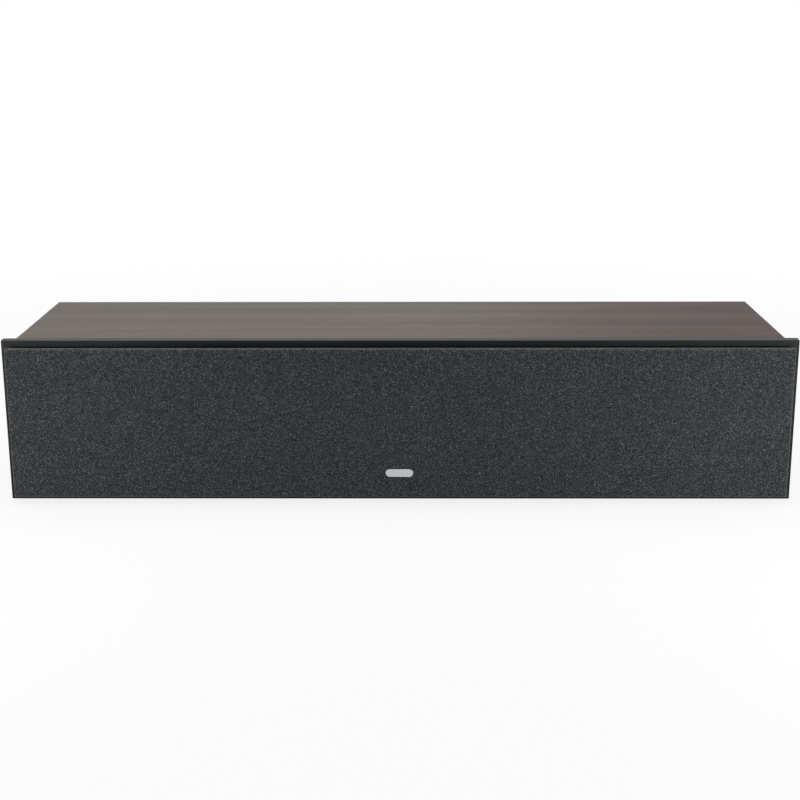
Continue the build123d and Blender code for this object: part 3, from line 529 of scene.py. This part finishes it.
def resin_cloth():
    """Amber cotton cloth stiffened with resin, with painted shade between the threads."""
    finish, tree, shader = blank_finish("resin_cloth")
    weave = cells(tree, 1400.0, randomness=0.3)["Distance"]
    # Darker towards each cell's edge: painted shade between the threads.
    wire(tree, shader, {
        "Base Color": tones(tree, weave, [(0.10, (0.52, 0.32, 0.10)), (0.70, (0.24, 0.13, 0.035))]),
        "Roughness": 0.8})
    raised(tree, shader, weave, 0.2 * MM, 0.7)
    return finish


def ridged_spider(woofer):
    """The disc, rising and falling in ridges between its flat edge and its neck, level with both."""
    low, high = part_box("woofer_spiders")
    level = (low.y + high.y) / 2
    ridge = (high.y - low.y - SPIDER_SKIN) / 2
    flanks = SPIDER_RIDGES + 1
    line = [(SPIDER_RADIUS, level)]
    for step in range(flanks * RIDGE_STEPS + 1):
        along = step / RIDGE_STEPS
        rise = -cos(pi * along)
        if along < 1 or along > SPIDER_RIDGES:
            rise = (1 + rise) / 2
        line.append((SPIDER_LEDGE + (SPIDER_NECK - SPIDER_LEDGE) * along / flanks, level + ridge * rise))
    section = [(radius, depth - SPIDER_SKIN / 2) for radius, depth in line]
    section += [(radius, depth + SPIDER_SKIN / 2) for radius, depth in reversed(line)]
    return turned_ring(f"{woofer}_ridged_spider", section, woofer_axes[woofer])


spider_cloth = resin_cloth()
for woofer in WOOFERS:
    spider = ridged_spider(woofer)
    spider.data.materials.append(spider_cloth)
    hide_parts("woofer_spiders")
    flex_with_cone(spider, woofer, woofer_axes[woofer], SPIDER_LEDGE, SPIDER_NECK)


# Tweeter.
# A moulded waveguide plate with a metal dome in its throat. The dome, its rolled edge and its flange are one
# pressing, clamped between the waveguide and a small ferrite motor.

def spun_aluminium():
    """Bare aluminium with the faint rings of the pressing tool."""
    finish, tree, shader = blank_finish("spun_aluminium")
    rings = node(tree, "TexWave", {
        "Vector": counted_place(tree, 900.0), "Scale": 1.0, "Distortion": 1.5, "Detail": 3.0},
        wave_type="RINGS", rings_direction="Y").outputs["Fac"]
    wire(tree, shader, {
        "Base Color": tones(tree, rings, [(0.20, (0.46, 0.46, 0.47)), (0.80, (0.56, 0.56, 0.57))]),
        "Roughness": levels(tree, rings, 0.26, 0.36), "Metallic": 1.0})
    return finish


dress(["tweeter_waveguide"], moulded_black_plastic("waveguide_plastic", 2600.0, 0.03 * MM, 0.40))
dress(["tweeter_dome"], spun_aluminium())
dress(["tweeter_voice_coil"], coil_copper)
dress(["tweeter_top_plate", "tweeter_yoke"], motor_steel)
dress(["tweeter_magnet"], motor_ferrite)


# Crossover.
# A green circuit board on nylon sleeves over the cabinet's floor, with two copper coils, two wrapped film
# capacitors and a cement resistor that split the sound between the drivers.

def solder_mask():
    """Green lacquer over glass laminate, with copper tracks ghosting through."""
    finish, tree, shader = blank_finish("solder_mask")
    tracks = node(tree, "TexBrick", {
        "Vector": counted_place(tree, 90.0), "Scale": 1.0, "Mortar Size": 0.06,
        "Color1": (0.012, 0.105, 0.040, 1.0), "Color2": (0.010, 0.090, 0.034, 1.0),
        "Mortar": (0.035, 0.180, 0.070, 1.0)}).outputs
    wire(tree, shader, {"Base Color": tracks["Color"], "Roughness": 0.3})
    raised(tree, shader, tracks["Fac"], 0.05 * MM, 0.5)
    return finish


def tinted(name, low, high, per_metre, roughness):
    """A plain moulded or cast finish with a little cloudiness in its colour."""
    finish, tree, shader = blank_finish(name)
    cloud = mottle(tree, per_metre, 4.0)
    wire(tree, shader, {
        "Base Color": tones(tree, cloud, [(0.30, low), (0.70, high)]),
        "Roughness": levels(tree, cloud, roughness - 0.06, roughness + 0.06)})
    raised(tree, shader, cloud, 0.05 * MM, 0.4)
    return finish


dress(["crossover_board"], solder_mask())
dress(["board_spacers"], tinted("nylon", (0.58, 0.57, 0.53), (0.70, 0.69, 0.65), 300.0, 0.45))
dress(["woofer_inductor", "tweeter_inductor"], coil_copper)
dress(["capacitors"], tinted("capacitor_wrap", (0.36, 0.20, 0.015), (0.50, 0.30, 0.03), 220.0, 0.28))
dress(["power_resistor"], tinted("cement", (0.50, 0.49, 0.45), (0.68, 0.67, 0.62), 700.0, 0.85))


# Screws.
# Black oxide socket screws sunk in the driver flanges, and small pan-head screws in the terminal cup and the
# circuit board.

dress(["driver_screws", "panel_screws"],
      tinted("black_oxide", (0.012, 0.012, 0.013), (0.026, 0.026, 0.028), 900.0, 0.38))


# Grille frame and magnets.
# A moulded black frame with a window for each driver. Short cups on its back stand it off the baffle, and
# the plated magnets in them snap to eight more that are buried in the board.

def nickel_plate():
    """Bright nickel with faint wipe marks."""
    finish, tree, shader = blank_finish("nickel_plate")
    wipe = mottle(tree, [900.0, 120.0, 300.0], 4.0)
    wire(tree, shader, {
        "Base Color": tones(tree, wipe, [(0.30, (0.56, 0.55, 0.52)), (0.70, (0.70, 0.69, 0.66))]),
        "Roughness": levels(tree, wipe, 0.12, 0.26), "Metallic": 1.0})
    return finish


dress(["grille_frame"], moulded_black_plastic("frame_plastic", 1100.0, 0.08 * MM, 0.55))
dress(["grille_magnets", "baffle_magnets"], nickel_plate())


# Grille cloth.
# One sheet of open charcoal knit, drawn tight over the frame, rounded over its edges and glued down in a lap
# round the back.

CLOTH_EDGE = 2.0 * MM
CLOTH_CORNER = 0.7
CLOTH_FOLD = 0.6 * MM
CLOTH_LAP = 8.0 * MM
CLOTH_SKIN = 0.6 * MM
CLOTH_PITCH = 4.0 * MM
CLOTH_GIVE = 0.35 * MM
WINDOW_X = [-262 * MM, -132 * MM, 0.0, 132 * MM, 262 * MM]
WINDOW_REACH = 50 * MM
EDGE_STEPS = 6
SAME_POINT = 0.001 * MM


def stretched_cloth():
    """The cloth as one sheet: a face that gives a little over each window, a rolled edge, a side, a lap."""
    low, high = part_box("grille_cloth")
    middle = (low + high) / 2
    half_x = (high.x - low.x) / 2 - CLOTH_EDGE
    half_z = (high.z - low.z) / 2 - CLOTH_EDGE
    columns, rows = round(2 * half_x / CLOTH_PITCH), round(2 * half_z / CLOTH_PITCH)
    across = [-half_x + 2 * half_x * step / columns for step in range(columns + 1)]
    up = [-half_z + 2 * half_z * step / rows for step in range(rows + 1)]
    sheet = bmesh.new()
    # A vertex layer for the painted highlight along the rolled edge.
    rim_shine = sheet.verts.layers.float.new("rim_highlight")

    def point(x, depth, z, shine=0.0):
        made = sheet.verts.new((x + middle.x, depth, z + middle.z))
        made[rim_shine] = shine
        return made

    def give(x, z):
        reach = min(hypot(x - window, z) for window in WINDOW_X) / WINDOW_REACH
        return CLOTH_GIVE * (1 - min(reach, 1.0) ** 2) ** 2

    def outwards(turn):
        """Which way the rim faces. Folded corners are squarer than round ones."""
        x, z = cos(radians(turn)), sin(radians(turn))
        square = max(abs(x), abs(z)) ** CLOTH_CORNER
        return x / square, z / square

    grid = [[point(x, low.y + give(x, z), z) for x in across] for z in up]
    for lower, upper in zip(grid, grid[1:]):
        for i in range(columns):
            sheet.faces.new((lower[i], lower[i + 1], upper[i + 1], upper[i]))

    sides = [
        [(x, -half_z) for x in across],
        [(half_x, z) for z in up],
        [(x, half_z) for x in reversed(across)],
        [(-half_x, z) for z in reversed(up)],
    ]
    rim = []
    for quarter, side in enumerate(sides):
        facing = quarter * 90 - 90
        rim += [(x, z, *outwards(facing)) for x, z in side]
        rim += [(*side[-1], *outwards(facing + 90 * step / EDGE_STEPS)) for step in range(1, EDGE_STEPS)]

    def ring(reach, depth):
        """The rim moved outwards, or inwards under the frame where the reach is negative."""
        if reach < 0:
            return [point(max(min(x, half_x + reach), -half_x - reach), depth,
                          max(min(z, half_z + reach), -half_z - reach)) for x, z, _, _ in rim]
        # The rolled edge, the side and the lap carry a painted highlight, rising from nothing at the face to
        # full at the side.
        return [point(x + reach * out_x, depth, z + reach * out_z, reach / CLOTH_EDGE)
                for x, z, out_x, out_z in rim]

    turns = [radians(90 * step / EDGE_STEPS) for step in range(EDGE_STEPS + 1)]
    rings = [ring(CLOTH_EDGE * sin(turn), low.y + CLOTH_EDGE * (1 - cos(turn))) for turn in turns]
    rings.append(ring(CLOTH_EDGE, high.y - CLOTH_FOLD))
    rings.append(ring(CLOTH_EDGE - CLOTH_FOLD, high.y))
    rings.append(ring(CLOTH_EDGE - CLOTH_LAP, high.y))
    for inner, outer in zip(rings, rings[1:]):
        for i in range(len(rim)):
            j = (i + 1) % len(rim)
            sheet.faces.new((inner[i], outer[i], outer[j], inner[j]))
    bmesh.ops.remove_doubles(sheet, verts=sheet.verts, dist=SAME_POINT)
    return finished_mesh("stretched_cloth", sheet)


def charcoal_knit():
    """Charcoal knit: small raised loops, pale or dark by chance, over black, with painted shade round each
    loop and a painted highlight on the rim.
    """
    finish, tree, shader = blank_finish("charcoal_knit")
    loops = cells(tree, 1800.0)
    cloud = mottle(tree, 60.0, 4.0)
    # Each loop darkens towards its edge: painted shade on the round yarn and in the gaps between loops.
    crown_and_shade = node(tree, "MapRange", {
        "Value": loops["Distance"], "From Min": 0.10, "From Max": 0.80,
        "To Min": 1.0, "To Max": 0.24}).outputs["Result"]
    lot = node(tree, "SeparateColor", {"Color": loops["Color"]}).outputs["Red"]
    # The rim is made up to 1.8 times paler: a painted highlight on the rolled edge.
    rim_shine = node(tree, "Attribute", attribute_name="rim_highlight").outputs["Fac"]
    colour = tones(tree, lot, [
        (0.0, (0.007, 0.008, 0.009)), (0.40, (0.042, 0.046, 0.049)), (0.88, (0.091, 0.098, 0.104)),
        (1.0, (0.250, 0.270, 0.285))])
    for shade in (crown_and_shade, levels(tree, cloud, 0.82, 1.10), levels(tree, rim_shine, 1.0, 1.8)):
        colour = multiplied(tree, colour, shade)
    wire(tree, shader, {
        "Base Color": colour, "Roughness": 0.9, "Specular IOR Level": 0.2,
        "Sheen Weight": 0.06, "Sheen Roughness": 0.5})
    raised(tree, shader, crown_and_shade, 0.2 * MM, 0.6)
    return finish


cloth = stretched_cloth()
cloth.data.materials.append(charcoal_knit())
skin = cloth.modifiers.new("skin", "SOLIDIFY")
skin.thickness = CLOTH_SKIN
skin.offset = -1.0
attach(cloth, "grille")
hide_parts("grille_cloth")


# Badge.
# A small blank plate of satin aluminium, glued low on the middle of the cloth.

def satin_aluminium():
    """Aluminium brushed lengthwise."""
    finish, tree, shader = blank_finish("satin_aluminium")
    brush = mottle(tree, [90.0, 2600.0, 5200.0], 2.0)
    wire(tree, shader, {
        "Base Color": tones(tree, brush, [(0.30, (0.42, 0.43, 0.44)), (0.70, (0.54, 0.55, 0.56))]),
        "Roughness": levels(tree, brush, 0.30, 0.48), "Metallic": 1.0})
    raised(tree, shader, brush, 0.01 * MM, 0.4)
    return finish


dress(["badge_plate"], satin_aluminium())


# Studio.
# A pale floor that runs off to the horizon, a wide soft light overhead, weak fill in front, a lamp at each
# side and a small low one for each end of the baffle. Floor and sky show white, also in reflections.

FLOOR_REACH = 40.0
FLOOR_BOUNCE = 0.88
FLOOR_SHOWN = 0.92
FLOOR_WHITE_NEAR = 0.84
FLOOR_WHITE_FAR = 1.0
SHADOW_REACH = (0.45, 1.3)
SKY_FILL = 0.30


def grey(level):
    return (level, level, level, 1.0)


def seen_directly(tree):
    """1 where the camera looks at a surface, straight or by reflection or through glass."""
    path = node(tree, "LightPath").outputs
    mirror = node(tree, "Math", {0: path["Is Camera Ray"], 1: path["Is Glossy Ray"]}, operation="MAXIMUM")
    return node(tree, "Math", {0: mirror.outputs["Value"], 1: path["Is Transmission Ray"]},
                operation="MAXIMUM").outputs["Value"]


floor_mesh = bpy.data.meshes.new("floor")
floor_mesh.from_pydata([(-FLOOR_REACH, -FLOOR_REACH, 0), (FLOOR_REACH, -FLOOR_REACH, 0),
                        (FLOOR_REACH, FLOOR_REACH, 0), (-FLOOR_REACH, FLOOR_REACH, 0)], [], [(0, 1, 2, 3)])
floor = bpy.data.objects.new("floor", floor_mesh)
bpy.context.scene.collection.objects.link(floor)
paper = bpy.data.materials.new("floor_paper")
paper.use_nodes = True
paper_tree = paper.node_tree
paper_tree.nodes.clear()
away = node(paper_tree, "VectorMath", {0: node(paper_tree, "TexCoord").outputs["Object"]}, operation="LENGTH")
whiteness = node(paper_tree, "MapRange", {
    "Value": away.outputs["Value"], "From Min": SHADOW_REACH[0], "From Max": SHADOW_REACH[1],
    "To Min": FLOOR_WHITE_NEAR, "To Max": FLOOR_WHITE_FAR}, interpolation_type="SMOOTHSTEP")
lit = node(paper_tree, "BsdfDiffuse", {"Color": grey(FLOOR_BOUNCE)})
pale = node(paper_tree, "BsdfDiffuse", {"Color": grey(FLOOR_SHOWN)})
glow = node(paper_tree, "Emission", {"Color": grey(1.0), "Strength": 1.0})
shown = node(paper_tree, "MixShader", {
    "Fac": whiteness.outputs["Result"], 1: pale.outputs["BSDF"], 2: glow.outputs["Emission"]})
either = node(paper_tree, "MixShader", {
    "Fac": seen_directly(paper_tree), 1: lit.outputs["BSDF"], 2: shown.outputs["Shader"]})
node(paper_tree, "OutputMaterial", {"Surface": either.outputs["Shader"]})
floor.data.materials.append(paper)

world = bpy.data.worlds.new("studio")
bpy.context.scene.world = world
world.use_nodes = True
sky_tree = world.node_tree
sky_tree.nodes.clear()
soft = node(sky_tree, "Background", {"Color": grey(1.0), "Strength": SKY_FILL})
white = node(sky_tree, "Background", {"Color": grey(1.0), "Strength": 1.0})
sky = node(sky_tree, "MixShader", {
    "Fac": seen_directly(sky_tree), 1: soft.outputs["Background"], 2: white.outputs["Background"]})
node(sky_tree, "OutputWorld", {"Surface": sky.outputs["Shader"]})


def soft_box(name, place, target, size, watts, grid=180):
    """A rectangular studio light, aimed at a point, with a grid that narrows its beam to so many degrees."""
    lamp = bpy.data.lights.new(name, "AREA")
    lamp.shape = "RECTANGLE"
    lamp.size, lamp.size_y = size
    lamp.energy = watts
    lamp.spread = radians(grid)
    box = bpy.data.objects.new(name, lamp)
    box.location = place
    box.rotation_euler = (Vector(target) - Vector(place)).to_track_quat("-Z", "Y").to_euler()
    box.visible_camera = False
    bpy.context.scene.collection.objects.link(box)


soft_box("overhead", place=(0.0, 0.15, 1.9), target=(0.0, 0.05, 0.1), size=(2.6, 1.6), watts=24.5)
for side, way in (("left", -1), ("right", 1)):
    soft_box(f"{side}_fill", place=(way * 1.05, -0.95, 0.55), target=(way * 0.1, -0.1, 0.08),
             size=(0.9, 0.9), watts=0.6)
for side, way in (("left", -1), ("right", 1)):
    soft_box(f"{side}_side", place=(way * 1.25, -0.35, 0.40), target=(way * 0.34, -0.08, 0.08),
             size=(0.8, 0.8), watts=3.8)
soft_box("left_edge_light", place=(-0.50, -0.72, 0.15), target=(-0.42, -0.1, 0.08),
         size=(0.14, 0.06), watts=0.46, grid=90)
soft_box("right_edge_light", place=(0.50, -0.72, 0.15), target=(0.44, -0.1, 0.08),
         size=(0.24, 0.06), watts=0.60, grid=90)


# Camera.
# Stands a little over a metre in front of the grille and looks slightly down on the top of the cabinet.

CAMERA_PLACE = (0.0133, -1.32965, 0.42805)
CAMERA_PITCH = 15.128
CAMERA_YAW = 0.589
CAMERA_ROLL = 0.170
CAMERA_LENS = 66.20
CAMERA_SENSOR = 36.0

camera = bpy.data.objects.new("camera", bpy.data.cameras.new("camera"))
camera.data.lens = CAMERA_LENS
camera.data.sensor_width = CAMERA_SENSOR
camera.matrix_world = (
    Matrix.Translation(CAMERA_PLACE)
    @ Matrix.Rotation(radians(CAMERA_YAW), 4, "Z")
    @ Matrix.Rotation(pi / 2 - radians(CAMERA_PITCH), 4, "X")
    @ Matrix.Rotation(-radians(CAMERA_ROLL), 4, "Z")
)
bpy.context.scene.collection.objects.link(camera)
bpy.context.scene.camera = camera
bpy.context.scene.view_settings.view_transform = "Standard"
